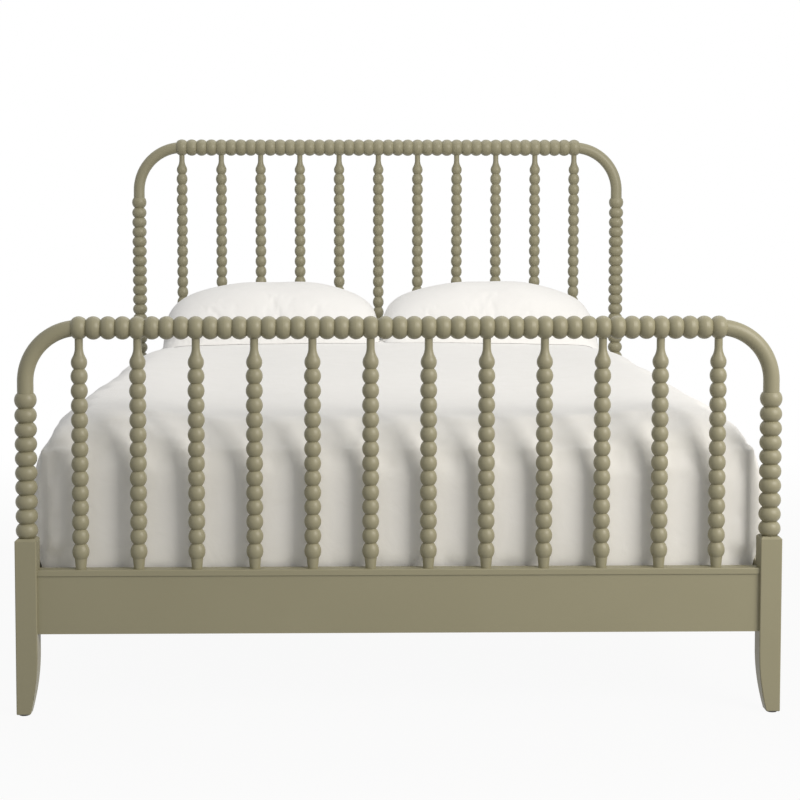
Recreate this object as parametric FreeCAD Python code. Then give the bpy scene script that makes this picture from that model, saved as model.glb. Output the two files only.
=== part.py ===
import FreeCAD
import Part

import math
import os
from dataclasses import dataclass

# A bead-turned bed: two end boards with turned rails, posts and spindles, a slatted base and bedding.
# Millimetres. X runs to the right seen from the foot, Y from the foot to the head, Z up.
# The origin is on the floor under the middle of the bed.

Vector = FreeCAD.Vector

# Two heights or lengths closer than this count as one
FLAT = 1e-6

# Mattress and the room left between it and the frame
MATTRESS_WIDTH = 1524.0
MATTRESS_LENGTH = 2032.0
MATTRESS_HEIGHT = 280.0
MATTRESS_CORNER_RADIUS = 70.0
MATTRESS_EDGE_RADIUS = 45.0
SIDE_ROOM = 17.5
HEAD_ROOM = 24.0
FOOT_ROOM = 54.0

# Clearances
JOINT_CLEARANCE = 0.15
SOFT_CLEARANCE = 0.4
SCREW_CLEARANCE = 0.1
THREAD_CLEARANCE = 0.05
STEM_CLEARANCE = 0.5

# Posts: a square tapered leg with a beaded column turned above it
POST_SIZE = 46.0
POST_EDGE_RADIUS = 2.5
POST_SHOULDER_BEVEL = 5.0
BLOCK_TOP = 380.0
LEG_TAPER_START = 132.0
LEG_TAPER = 17.0
LEG_TOE_BEVEL = 2.0
POST_BEAD_DIAMETER = 47.0
POST_VALLEY_DIAMETER = 30.5
POST_BEAD_PITCH = 31.4
COLLAR_LIP = 1.5
GLIDE_DIAMETER = 22.0
GLIDE_THICKNESS = 3.0

# Top rails and their bent elbows
HEAD_RAIL_AXIS = 1283.0
HEAD_RAIL_BEAD_DIAMETER = 54.0
HEAD_RAIL_VALLEY_DIAMETER = 40.0
HEAD_ELBOW_DIAMETER = 36.0
HEAD_ELBOW_RADIUS = 142.0
FOOT_RAIL_AXIS = 826.4
FOOT_RAIL_BEAD_DIAMETER = 49.8
FOOT_RAIL_VALLEY_DIAMETER = 34.5
FOOT_ELBOW_DIAMETER = 34.5
FOOT_ELBOW_RADIUS = 113.85
ELBOW_STRAIGHT = 25.0
ELBOW_RAIL_TENON_DIAMETER = 14.0
ELBOW_RAIL_TENON_LENGTH = 12.0
ELBOW_POST_TENON_DIAMETER = 16.0
ELBOW_POST_TENON_LENGTH = 30.0

# Spindles, set under every fourth bead of the rails
HEAD_SPINDLES = 11
HEAD_SPINDLE_BEAD_PITCH = 34.0
HEAD_SPINDLE_FOOT = 33.0
FOOT_SPINDLES = 12
FOOT_SPINDLE_BEAD_PITCH = 31.1
FOOT_SPINDLE_FOOT = 22.5
RAIL_BEADS_PER_GAP = 4
SPINDLE_BEAD_DIAMETER = 36.2
SPINDLE_VALLEY_DIAMETER = 23.0
SPINDLE_FOOT_DIAMETER = 22.0
SPINDLE_ANKLE_DIAMETER = 26.5
SPINDLE_NECK_DIAMETER = 17.4
SPINDLE_BULB_DIAMETER = 34.4
SPINDLE_BULB_DROP = 73.0
BULB_ROUND_RADIUS = 20.0
NECK_SWEEP_RADIUS = 40.0
SPINDLE_TENON_DIAMETER = 16.0
SPINDLE_TENON_LENGTH = 26.0
TENON_WALL = 4.0

# Lower rails with the cap strip that the spindles stand on
LOWER_RAIL_BOTTOM = 175.0
LOWER_RAIL_HEIGHT = 125.0
LOWER_RAIL_THICKNESS = 28.0
CAP_THICKNESS = 12.5
CAP_OVERHANG = 2.5
CAP_EDGE_RADIUS = 2.0
RAIL_TENON_LENGTH = 16.0
RAIL_TENON_THICKNESS = 12.0
RAIL_TENON_SHOULDER = 12.0

# Side rails, hung on the posts by hook plates
SIDE_RAIL_THICKNESS = 25.0
SIDE_RAIL_EDGE_RADIUS = 3.0
PLATE_WIDTH = 16.0
PLATE_HEIGHT = 104.0
PLATE_THICKNESS = 2.5
HOOK_SPACING = 54.0
HOOK_WIDTH = 5.0
HOOK_BAR_HEIGHT = 10.0
HOOK_LIP_HEIGHT = 10.0
HOOK_LIP_THICKNESS = 3.5
HOOK_CLEARANCE = 0.5

# Slatted base
SLAT_COUNT = 13
SLAT_WIDTH = 70.0
SLAT_THICKNESS = 19.0
SLAT_TOP = 270.0
SLAT_END_ROOM = 2.0
SLAT_INSET = 95.0
SLAT_EDGE_RADIUS = 2.0
LEDGER_WIDTH = 25.0
LEDGER_HEIGHT = 32.0
LEDGER_END_ROOM = 40.0
LEDGER_SCREWS = 7
LEDGER_SCREW_INSET = 60.0
LEDGER_SCREW_DROP = 24.0
SCREW_HEAD_DIAMETER = 8.0
SCREW_SHANK_DIAMETER = 4.0
SCREW_LENGTH = 40.0

# Centre support
BEAM_WIDTH = 38.0
BEAM_HEIGHT = 64.0
HANGER_THICKNESS = 2.5
HANGER_REACH = 45.0
HANGER_EAR = 20.0
CENTRE_LEG_SIZE = 40.0
CENTRE_LEG_OFFSET = 320.0
CENTRE_LEG_BOTTOM = 22.0
CENTRE_LEG_EDGE_RADIUS = 2.5
CENTRE_LEG_TENON_DIAMETER = 20.0
CENTRE_LEG_TENON_LENGTH = 18.0
LEVELLER_STEM_DIAMETER = 10.0
LEVELLER_STEM_LENGTH = 48.0
LEVELLER_PAD_DIAMETER = 36.0
LEVELLER_PAD_THICKNESS = 7.0
LEVELLER_PAD_ROUND = 2.0
LEVELLER_HEX_ACROSS = 17.0
LEVELLER_HEX_HEIGHT = 6.0
LEVELLER_RETRACT = 8.0
LEVELLER_BORE_ROOM = 4.0
INSERT_DIAMETER = 14.0
INSERT_LENGTH = 20.0

# Bedding
DUVET_LOFT = 122.0
DUVET_CROWN = 7.0
DUVET_SIDE_LOFT = 33.0
DUVET_SHOULDER_RADIUS = 200.0
DUVET_FOOT_LOFT = 26.0
DUVET_FOOT_RADIUS = 125.0
DUVET_FOOT_DROP = 47.0
DUVET_SIDE_BULGE = 14.0
DUVET_HEAD_MARGIN = 18.0
DUVET_HEM = 275.0
DUVET_RAIL_GAP = 9.5
DUVET_TUCK_GAP = 5.0
DUVET_CORNER_RADIUS = 110.0
PILLOW_WIDTH = 690.0
PILLOW_DEPTH = 490.0
PILLOW_CROWN = 172.0
PILLOW_UNDERSIDE = 48.0
PILLOW_GAP = 8.0
PILLOW_HEAD_GAP = 40.0
PILLOW_TILT = 4.0
PILLOW_SINK = 50.0
PILLOW_SEAM = 9.0
PILLOW_DRAW_IN = 9.0
PILLOW_FULLNESS = 2.6
PILLOW_STEPS = (0.0, 0.45, 0.75, 0.92, 1.0)

# Places that follow from the driving dimensions
LOWER_RAIL_TOP = LOWER_RAIL_BOTTOM + LOWER_RAIL_HEIGHT
CAP_TOP = LOWER_RAIL_TOP + CAP_THICKNESS
SIDE_RAIL_TOP = CAP_TOP
POST_X = MATTRESS_WIDTH / 2 + SIDE_ROOM + SIDE_RAIL_THICKNESS / 2
HEAD_REACH = max(POST_SIZE, POST_BEAD_DIAMETER, HEAD_RAIL_BEAD_DIAMETER) / 2
FOOT_REACH = max(POST_SIZE, POST_BEAD_DIAMETER, FOOT_RAIL_BEAD_DIAMETER) / 2
POST_SPAN = MATTRESS_LENGTH + HEAD_ROOM + FOOT_ROOM
HEAD_Y = (POST_SPAN + FOOT_REACH - HEAD_REACH) / 2
FOOT_Y = HEAD_Y - POST_SPAN
MATTRESS_FOOT_Y = FOOT_Y + FOOT_ROOM
MATTRESS_HEAD_Y = HEAD_Y - HEAD_ROOM
MATTRESS_TOP = SLAT_TOP + MATTRESS_HEIGHT
SLAT_BOTTOM = SLAT_TOP - SLAT_THICKNESS
BEAM_BOTTOM = SLAT_BOTTOM - BEAM_HEIGHT
SIDE_RAIL_INNER_X = POST_X - SIDE_RAIL_THICKNESS / 2
LEDGER_X = SIDE_RAIL_INNER_X - LEDGER_WIDTH / 2
SPINDLE_TENON_TOP = ELBOW_RAIL_TENON_DIAMETER / 2 + TENON_WALL


@dataclass(frozen=True)
class EndBoard:
    """Sizes of one end board: the head board or the foot board."""

    name: str
    y: float
    inward: int
    rail_axis: float
    rail_bead: float
    rail_valley: float
    elbow: float
    elbow_radius: float
    spindles: int
    spindle_bead_pitch: float
    spindle_foot: float

    @property
    def pitch(self):
        return 2 * (POST_X - self.elbow_radius) / (self.spindles - 1)

    @property
    def bead_pitch(self):
        return self.pitch / RAIL_BEADS_PER_GAP

    @property
    def rail_beads(self):
        return RAIL_BEADS_PER_GAP * (self.spindles - 1) + 1

    @property
    def rail_end(self):
        return self.rail_beads * self.bead_pitch / 2

    @property
    def collar_top(self):
        return self.rail_axis - self.elbow_radius - ELBOW_STRAIGHT

    def spindle_x(self, index):
        return (index - (self.spindles - 1) / 2) * self.pitch


HEAD = EndBoard(
    "head", HEAD_Y, -1, HEAD_RAIL_AXIS, HEAD_RAIL_BEAD_DIAMETER, HEAD_RAIL_VALLEY_DIAMETER,
    HEAD_ELBOW_DIAMETER, HEAD_ELBOW_RADIUS, HEAD_SPINDLES, HEAD_SPINDLE_BEAD_PITCH, HEAD_SPINDLE_FOOT,
)
FOOT = EndBoard(
    "foot", FOOT_Y, 1, FOOT_RAIL_AXIS, FOOT_RAIL_BEAD_DIAMETER, FOOT_RAIL_VALLEY_DIAMETER,
    FOOT_ELBOW_DIAMETER, FOOT_ELBOW_RADIUS, FOOT_SPINDLES, FOOT_SPINDLE_BEAD_PITCH, FOOT_SPINDLE_FOOT,
)


class Lathe:
    """A turned profile of radius against height, revolved about the Z axis."""

    def __init__(self, z):
        self.edges = []
        self.here = Vector(0, 0, z)
        self.base = self.here

    def line(self, radius, z):
        end = Vector(radius, 0, z)
        self.edges.append(Part.LineSegment(self.here, end).toShape())
        self.here = end

    def arc(self, middle, end):
        """An arc through a middle point, drawn as two halves."""
        end_point = Vector(end[0], 0, end[1])
        arc = Part.Arc(self.here, Vector(middle[0], 0, middle[1]), end_point)
        half = (arc.FirstParameter + arc.LastParameter) / 2
        self.edges.append(arc.toShape(arc.FirstParameter, half))
        self.edges.append(arc.toShape(half, arc.LastParameter))
        self.here = end_point

    def beads(self, crest, valley, length, wanted_pitch, last_radius):
        """A run of equal beads, as many as come nearest to the wanted pitch."""
        count = max(1, round(length / wanted_pitch))
        pitch = length / count
        radii = [valley] * (count - 1) + [last_radius]
        for radius in radii:
            z = self.here.z
            self.arc((crest, z + pitch / 2), (radius, z + pitch))

    def solid(self):
        top = Vector(0, 0, self.here.z)
        self.line(0, top.z)
        self.edges.append(Part.LineSegment(top, self.base).toShape())
        face = Part.Face(Part.Wire(self.edges))
        return face.revolve(Vector(0, 0, 0), Vector(0, 0, 1), 360)


def block(x0, x1, y0, y1, z0, z1):
    """A box between two corners."""
    return Part.makeBox(x1 - x0, y1 - y0, z1 - z0, Vector(x0, y0, z0))


def rod(diameter, start, direction, length):
    """A plain round bar."""
    return Part.makeCylinder(diameter / 2, length, start, direction)


def upright_edges(shape):
    """Edges that run up the shape, as against round its top or bottom."""
    return [e for e in shape.Edges if abs(e.Vertexes[0].Z - e.Vertexes[-1].Z) > FLAT]


def level_edges(shape, z):
    """Edges that lie wholly at one height."""
    return [e for e in shape.Edges
            if abs(e.BoundBox.ZMin - z) < FLAT and abs(e.BoundBox.ZMax - z) < FLAT]


def long_edges(shape, axis):
    """Straight edges along one axis, given as 0, 1 or 2."""
    picked = []
    for edge in shape.Edges:
        ends = edge.Vertexes[-1].Point - edge.Vertexes[0].Point
        if abs(abs(ends[axis]) - edge.Length) < FLAT:
            picked.append(edge)
    return picked


def top_edges(shape):
    """The two long edges, along X, at the top of a strip."""
    return [e for e in long_edges(shape, 0) if e.BoundBox.ZMin > shape.BoundBox.Center.z]


def wire_face(edges):
    return Part.Face(Part.Wire(edges))


def segment(a, b):
    return Part.LineSegment(a, b).toShape()


def arc3(a, b, c):
    return Part.Arc(a, b, c).toShape()


def leg_inner(z):
    """Half width of the leg on a tapered side at a height: straight, then one arc down to the floor."""
    half = POST_SIZE / 2
    if z >= LEG_TAPER_START:
        return half
    radius = (LEG_TAPER_START**2 + LEG_TAPER**2) / (2 * LEG_TAPER)
    return half - radius + math.sqrt(radius**2 - (LEG_TAPER_START - z) ** 2)


def crossed(face):
    """An outline in the X and Z plane drawn through the post, kept where it meets itself turned square."""
    deep = 2 * POST_SIZE
    prism = face.translated(Vector(0, -deep / 2, 0)).extrude(Vector(0, deep, 0))
    return prism.common(prism.rotated(Vector(0, 0, 0), Vector(0, 0, 1), 90)).Solids[0]


def tapered_leg():
    """The square leg, tapered on its two inner faces, with eased upright edges."""
    half = POST_SIZE / 2
    toe = GLIDE_THICKNESS
    middle = (LEG_TAPER_START + toe) / 2

    def at(x, z):
        return Vector(x, 0, z)

    leg = crossed(wire_face([
        segment(at(-half, toe), at(-half, BLOCK_TOP)),
        segment(at(-half, BLOCK_TOP), at(half, BLOCK_TOP)),
        segment(at(half, BLOCK_TOP), at(half, LEG_TAPER_START)),
        arc3(at(half, LEG_TAPER_START), at(leg_inner(middle), middle), at(leg_inner(toe), toe)),
        segment(at(leg_inner(toe), toe), at(-half, toe)),
    ]))
    return leg.makeFillet(POST_EDGE_RADIUS, upright_edges(leg)).Solids[0]


def bevel_form():
    """A form that bevels the leg's shoulder and toe where the two are intersected."""
    half = POST_SIZE / 2
    past = half + POST_SHOULDER_BEVEL
    low = GLIDE_THICKNESS
    high = BLOCK_TOP
    outline = [
        (-past, low + LEG_TOE_BEVEL + POST_SHOULDER_BEVEL),
        (-half + LEG_TOE_BEVEL, low),
        (leg_inner(low) - LEG_TOE_BEVEL, low),
        (leg_inner(low + LEG_TOE_BEVEL), low + LEG_TOE_BEVEL),
        (past, low + LEG_TOE_BEVEL),
        (past, high - 2 * POST_SHOULDER_BEVEL),
        (half - POST_SHOULDER_BEVEL, high),
        (-half + POST_SHOULDER_BEVEL, high),
        (-past, high - 2 * POST_SHOULDER_BEVEL),
    ]
    points = [Vector(x, 0, z) for x, z in outline]
    return crossed(Part.Face(Part.makePolygon(points + points[:1])))


def post_block():
    """The square leg with its bevels; its inner faces look along +X and +Y."""
    return tapered_leg().common(bevel_form()).Solids[0]


def post_column(end):
    """The turned column above the leg, with a collar that takes the elbow."""
    valley = POST_VALLEY_DIAMETER / 2
    lathe = Lathe(BLOCK_TOP - POST_SHOULDER_BEVEL)
    lathe.line(valley, BLOCK_TOP - POST_SHOULDER_BEVEL)
    lathe.line(valley, BLOCK_TOP)
    lathe.beads(POST_BEAD_DIAMETER / 2, valley, end.collar_top - BLOCK_TOP, POST_BEAD_PITCH,
                end.elbow / 2 + COLLAR_LIP)
    return lathe.solid()


def hook_heights():
    middle = (LOWER_RAIL_BOTTOM + SIDE_RAIL_TOP) / 2
    return [middle - HOOK_SPACING / 2, middle + HOOK_SPACING / 2]


def plate_block(y0, y1, grow):
    middle = (LOWER_RAIL_BOTTOM + SIDE_RAIL_TOP) / 2
    half_x = PLATE_WIDTH / 2 + grow
    half_z = PLATE_HEIGHT / 2 + grow
    return block(-half_x, half_x, y0, y1, middle - half_z, middle + half_z)


def post(end):
    """A whole post with its inner faces toward +X and +Y."""
    half = POST_SIZE / 2
    body = post_block().fuse(post_column(end)).removeSplitter()
    mortise = RAIL_TENON_THICKNESS / 2 + JOINT_CLEARANCE
    body = body.cut(block(
        half - RAIL_TENON_LENGTH - JOINT_CLEARANCE, half, -mortise, mortise,
        LOWER_RAIL_BOTTOM + RAIL_TENON_SHOULDER - JOINT_CLEARANCE,
        LOWER_RAIL_TOP - RAIL_TENON_SHOULDER + JOINT_CLEARANCE,
    ))
    body = body.cut(plate_block(half - PLATE_THICKNESS, half, JOINT_CLEARANCE))
    room = HOOK_WIDTH / 2 + HOOK_CLEARANCE
    depth = PLATE_THICKNESS + HOOK_LIP_THICKNESS + 2 * HOOK_CLEARANCE
    for z in hook_heights():
        body = body.cut(block(-room, room, half - depth, half,
                              z - HOOK_LIP_HEIGHT - HOOK_CLEARANCE,
                              z + HOOK_BAR_HEIGHT + HOOK_LIP_HEIGHT + 2 * HOOK_CLEARANCE))
    socket = rod(ELBOW_POST_TENON_DIAMETER + 2 * JOINT_CLEARANCE, Vector(0, 0, end.collar_top),
                 Vector(0, 0, -1), ELBOW_POST_TENON_LENGTH + JOINT_CLEARANCE)
    return body.cut(socket)


def slot_plate():
    """The steel plate let into a post, with a slot for each hook."""
    half = POST_SIZE / 2
    plate = plate_block(half - PLATE_THICKNESS, half, 0)
    room = HOOK_WIDTH / 2 + HOOK_CLEARANCE
    for z in hook_heights():
        plate = plate.cut(block(-room, room, half - PLATE_THICKNESS, half,
                                z, z + HOOK_BAR_HEIGHT + HOOK_LIP_HEIGHT + HOOK_CLEARANCE))
    return plate


def hook_plate():
    """The steel plate let into a side rail's end, with hooks that drop behind the slot plate."""
    half = POST_SIZE / 2
    plate = plate_block(half, half + PLATE_THICKNESS, 0)
    lip_front = half - PLATE_THICKNESS - HOOK_CLEARANCE
    lip_back = lip_front - HOOK_LIP_THICKNESS
    for z in hook_heights():
        outline = [(half, z), (lip_front, z), (lip_front, z - HOOK_LIP_HEIGHT),
                   (lip_back, z - HOOK_LIP_HEIGHT), (lip_back, z + HOOK_BAR_HEIGHT),
                   (half, z + HOOK_BAR_HEIGHT)]
        points = [Vector(-HOOK_WIDTH / 2, y, height) for y, height in outline]
        hook = Part.Face(Part.makePolygon(points + points[:1])).extrude(Vector(HOOK_WIDTH, 0, 0))
        plate = plate.fuse(hook)
    return plate.removeSplitter()


def at_corner(shape, end, side):
    """Move a piece made for a +X, +Y inner corner to one of the bed's four corners."""
    if side > 0:
        shape = shape.mirror(Vector(0, 0, 0), Vector(1, 0, 0))
    if end.inward < 0:
        shape = shape.mirror(Vector(0, 0, 0), Vector(0, 1, 0))
    return shape.translated(Vector(side * POST_X, end.y, 0))


def elbow(end):
    """The bent corner on the left: up from the post's collar, round, and into the rail's end."""
    radius = end.elbow_radius
    spring = end.rail_axis - radius
    start = Vector(-POST_X, end.y, end.collar_top)
    up = Vector(0, 0, 1)
    straight = rod(end.elbow, start, up, spring - end.collar_top)
    circle = Part.makeCircle(end.elbow / 2, Vector(-POST_X, end.y, spring), up)
    bend = Part.Face(Part.Wire([circle])).revolve(
        Vector(-POST_X + radius, end.y, spring), Vector(0, 1, 0), 90)
    big = radius + end.elbow
    bend = bend.cut(block(-end.rail_end, -end.rail_end + big, end.y - big, end.y + big,
                          spring, spring + 2 * big))
    shoulder = Vector(-end.rail_end, end.y, end.rail_axis)
    rail_tenon = rod(ELBOW_RAIL_TENON_DIAMETER, shoulder - Vector(end.elbow / 2, 0, 0), Vector(1, 0, 0),
                     end.elbow / 2 + ELBOW_RAIL_TENON_LENGTH)
    post_tenon = rod(ELBOW_POST_TENON_DIAMETER, start, Vector(0, 0, -1), ELBOW_POST_TENON_LENGTH)
    return straight.multiFuse([bend, rail_tenon, post_tenon]).removeSplitter()


def spindle_hole(end, x):
    bottom = end.rail_axis - end.rail_bead
    return rod(SPINDLE_NECK_DIAMETER + 2 * JOINT_CLEARANCE, Vector(x, end.y, bottom), Vector(0, 0, 1),
               end.rail_bead - SPINDLE_TENON_TOP + JOINT_CLEARANCE)


def top_rail(end):
    """The beaded top rail, with sockets for the spindles and for the elbows at its ends."""
    valley = end.rail_valley / 2
    lathe = Lathe(-end.rail_end)
    lathe.line(valley, -end.rail_end)
    lathe.beads(end.rail_bead / 2, valley, 2 * end.rail_end, end.bead_pitch, valley)
    rail = lathe.solid()
    rail.rotate(Vector(0, 0, 0), Vector(0, 1, 0), 90)
    rail.translate(Vector(0, end.y, end.rail_axis))
    sockets = [spindle_hole(end, end.spindle_x(i)) for i in range(end.spindles)]
    for side in (-1, 1):
        mouth = Vector(side * end.rail_end, end.y, end.rail_axis)
        sockets.append(rod(ELBOW_RAIL_TENON_DIAMETER + 2 * JOINT_CLEARANCE, mouth,
                           Vector(-side, 0, 0), ELBOW_RAIL_TENON_LENGTH + JOINT_CLEARANCE))
    return rail.cut(sockets)


def spindle(end):
    """A turned spindle: tenon, tapered foot, a run of beads, a bulb, and a neck that enters the rail."""
    valley = SPINDLE_VALLEY_DIAMETER / 2
    tenon = SPINDLE_TENON_DIAMETER / 2
    bulb = SPINDLE_BULB_DIAMETER / 2
    neck = SPINDLE_NECK_DIAMETER / 2
    bulb_z = end.rail_axis - SPINDLE_BULB_DROP
    round_r = bulb - BULB_ROUND_RADIUS
    valley_angle = math.acos((valley - round_r) / BULB_ROUND_RADIUS)
    valley_z = bulb_z - BULB_ROUND_RADIUS * math.sin(valley_angle)
    bead_start = CAP_TOP + end.spindle_foot
    lathe = Lathe(CAP_TOP - SPINDLE_TENON_LENGTH)
    lathe.line(tenon, CAP_TOP - SPINDLE_TENON_LENGTH)
    lathe.line(tenon, CAP_TOP)
    lathe.line(SPINDLE_FOOT_DIAMETER / 2, CAP_TOP)
    lathe.line(SPINDLE_ANKLE_DIAMETER / 2, bead_start)
    lathe.beads(SPINDLE_BEAD_DIAMETER / 2, valley, valley_z - bead_start, end.spindle_bead_pitch, valley)
    # The bulb's round and the neck's sweep are two arcs that meet with one tangent
    reach = BULB_ROUND_RADIUS + NECK_SWEEP_RADIUS
    turn = math.acos((neck + NECK_SWEEP_RADIUS - round_r) / reach)
    join = (round_r + BULB_ROUND_RADIUS * math.cos(turn), bulb_z + BULB_ROUND_RADIUS * math.sin(turn))
    lathe.arc((bulb, bulb_z), join)
    sweep_r = round_r + reach * math.cos(turn)
    sweep_z = bulb_z + reach * math.sin(turn)
    half_turn = turn / 2
    lathe.arc((sweep_r - NECK_SWEEP_RADIUS * math.cos(half_turn),
               sweep_z - NECK_SWEEP_RADIUS * math.sin(half_turn)), (neck, sweep_z))
    lathe.line(neck, end.rail_axis - SPINDLE_TENON_TOP)
    return lathe.solid()


def spindle_socket(end, x):
    return rod(SPINDLE_TENON_DIAMETER + 2 * JOINT_CLEARANCE, Vector(x, end.y, CAP_TOP),
               Vector(0, 0, -1), SPINDLE_TENON_LENGTH + JOINT_CLEARANCE)


def lower_rail(end):
    """The plain board between the legs, tenoned into both, with holes for the spindles' tenons."""
    face_x = POST_X - POST_SIZE / 2
    half = LOWER_RAIL_THICKNESS / 2
    board = block(-face_x, face_x, end.y - half, end.y + half, LOWER_RAIL_BOTTOM, LOWER_RAIL_TOP)
    reach = face_x + RAIL_TENON_LENGTH
    tongue = RAIL_TENON_THICKNESS / 2
    board = board.fuse(block(-reach, reach, end.y - tongue, end.y + tongue,
                             LOWER_RAIL_BOTTOM + RAIL_TENON_SHOULDER,
                             LOWER_RAIL_TOP - RAIL_TENON_SHOULDER))
    return board.cut([spindle_socket(end, end.spindle_x(i)) for i in range(end.spindles)])


def rail_cap(end):
    """The strip on the lower rail, a little proud of it, that the spindles stand on."""
    face_x = POST_X - POST_SIZE / 2
    half = LOWER_RAIL_THICKNESS / 2 + CAP_OVERHANG
    strip = block(-face_x, face_x, end.y - half, end.y + half, LOWER_RAIL_TOP, CAP_TOP)
    strip = strip.makeFillet(CAP_EDGE_RADIUS, top_edges(strip))
    return strip.cut([spindle_socket(end, end.spindle_x(i)) for i in range(end.spindles)])


def side_rail(side):
    """A side rail with its ends recessed for the hook plates."""
    half = SIDE_RAIL_THICKNESS / 2
    y0 = FOOT_Y + POST_SIZE / 2
    y1 = HEAD_Y - POST_SIZE / 2
    board = block(-half, half, y0, y1, LOWER_RAIL_BOTTOM, SIDE_RAIL_TOP)
    board = board.makeFillet(SIDE_RAIL_EDGE_RADIUS, long_edges(board, 1))
    recess = plate_block(0, PLATE_THICKNESS, JOINT_CLEARANCE)
    board = board.cut([recess.translated(Vector(0, y0, 0)),
                       recess.translated(Vector(0, y1 - PLATE_THICKNESS, 0))])
    return board.translated(Vector(side * POST_X, 0, 0)).cut(
        [screw.copy() for screw in ledger_screw_list(side, SCREW_CLEARANCE)])


def ledger_span():
    return (FOOT_Y + POST_SIZE / 2 + LEDGER_END_ROOM, HEAD_Y - POST_SIZE / 2 - LEDGER_END_ROOM)


def ledger(side):
    """The strip inside a side rail that carries the slats' ends."""
    y0, y1 = ledger_span()
    half = LEDGER_WIDTH / 2
    strip = block(-half, half, y0, y1, SLAT_BOTTOM - LEDGER_HEIGHT, SLAT_BOTTOM)
    strip = strip.translated(Vector(side * LEDGER_X, 0, 0))
    holes = ledger_screw_list(side, SCREW_CLEARANCE)
    holes += [s for x, s in slat_screw_list(SCREW_CLEARANCE) if x * side > 0]
    return strip.cut(holes)


def countersunk(grow):
    """A countersunk screw pointing down, the top of its head at the origin."""
    head = SCREW_HEAD_DIAMETER / 2 + grow
    shank = SCREW_SHANK_DIAMETER / 2 + grow
    lathe = Lathe(-SCREW_LENGTH - grow)
    lathe.line(shank, -SCREW_LENGTH - grow)
    lathe.line(shank, shank - head)
    lathe.line(head, 0)
    return lathe.solid()


def slat_centres():
    first = MATTRESS_FOOT_Y + SLAT_INSET
    last = MATTRESS_HEAD_Y - SLAT_INSET
    step = (last - first) / (SLAT_COUNT - 1)
    return [first + step * i for i in range(SLAT_COUNT)]


def slat_screw_list(grow):
    """Each slat's two screws, with the X that each stands at."""
    screws = []
    for y in slat_centres():
        for x in (-LEDGER_X, LEDGER_X):
            screws.append((x, countersunk(grow).translated(Vector(x, y, SLAT_TOP))))
    return screws


def ledger_screw_list(side, grow):
    """The screws that hold a ledger to its side rail, pointing outward."""
    y0, y1 = ledger_span()
    first = y0 + LEDGER_SCREW_INSET
    step = (y1 - y0 - 2 * LEDGER_SCREW_INSET) / (LEDGER_SCREWS - 1)
    screws = []
    for i in range(LEDGER_SCREWS):
        screw = countersunk(grow)
        screw.rotate(Vector(0, 0, 0), Vector(0, 1, 0), -90 * side)
        screw.translate(Vector(side * (LEDGER_X - LEDGER_WIDTH / 2), first + step * i,
                               SLAT_BOTTOM - LEDGER_SCREW_DROP))
        screws.append(screw)
    return screws


def slats():
    """The slats, screwed to the ledgers and resting on the beam."""
    half = SIDE_RAIL_INNER_X - SLAT_END_ROOM
    screws = slat_screw_list(SCREW_CLEARANCE)
    pieces = []
    for y in slat_centres():
        slat = block(-half, half, y - SLAT_WIDTH / 2, y + SLAT_WIDTH / 2, SLAT_BOTTOM, SLAT_TOP)
        slat = slat.makeFillet(SLAT_EDGE_RADIUS, top_edges(slat))
        near = [s for _, s in screws if abs(s.BoundBox.Center.y - y) < SLAT_WIDTH / 2]
        pieces.append(slat.cut(near))
    return Part.makeCompound(pieces)


def beam_span():
    half = LOWER_RAIL_THICKNESS / 2
    return FOOT_Y + half + HANGER_THICKNESS, HEAD_Y - half - HANGER_THICKNESS


def centre_leg_tenon(y, grow):
    return rod(CENTRE_LEG_TENON_DIAMETER + 2 * grow, Vector(0, y, BEAM_BOTTOM), Vector(0, 0, 1),
               CENTRE_LEG_TENON_LENGTH + grow)


def centre_beam():
    """The beam under the middle of the slats, bored for the tops of its legs."""
    y0, y1 = beam_span()
    beam = block(-BEAM_WIDTH / 2, BEAM_WIDTH / 2, y0, y1, BEAM_BOTTOM, SLAT_BOTTOM)
    return beam.cut([centre_leg_tenon(y, JOINT_CLEARANCE)
                     for y in (-CENTRE_LEG_OFFSET, CENTRE_LEG_OFFSET)])


def beam_hanger(end):
    """A folded steel hanger on a lower rail's inner face that the beam's end drops into."""
    wall = BEAM_WIDTH / 2 + HANGER_THICKNESS
    face = LOWER_RAIL_THICKNESS / 2
    saddle = block(-wall, wall, face, face + HANGER_REACH, BEAM_BOTTOM - HANGER_THICKNESS, SLAT_BOTTOM)
    pocket = block(-BEAM_WIDTH / 2, BEAM_WIDTH / 2, face + HANGER_THICKNESS, face + HANGER_REACH,
                   BEAM_BOTTOM, SLAT_BOTTOM)
    ear = wall + HANGER_EAR
    back = block(-ear, ear, face, face + HANGER_THICKNESS, BEAM_BOTTOM - HANGER_THICKNESS, SLAT_BOTTOM)
    hanger = saddle.cut(pocket).fuse(back).removeSplitter()
    if end.inward < 0:
        hanger = hanger.mirror(Vector(0, 0, 0), Vector(0, 1, 0))
    return hanger.translated(Vector(0, end.y, 0))


def stem_top():
    return LEVELLER_PAD_THICKNESS + LEVELLER_HEX_HEIGHT + LEVELLER_STEM_LENGTH


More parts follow.
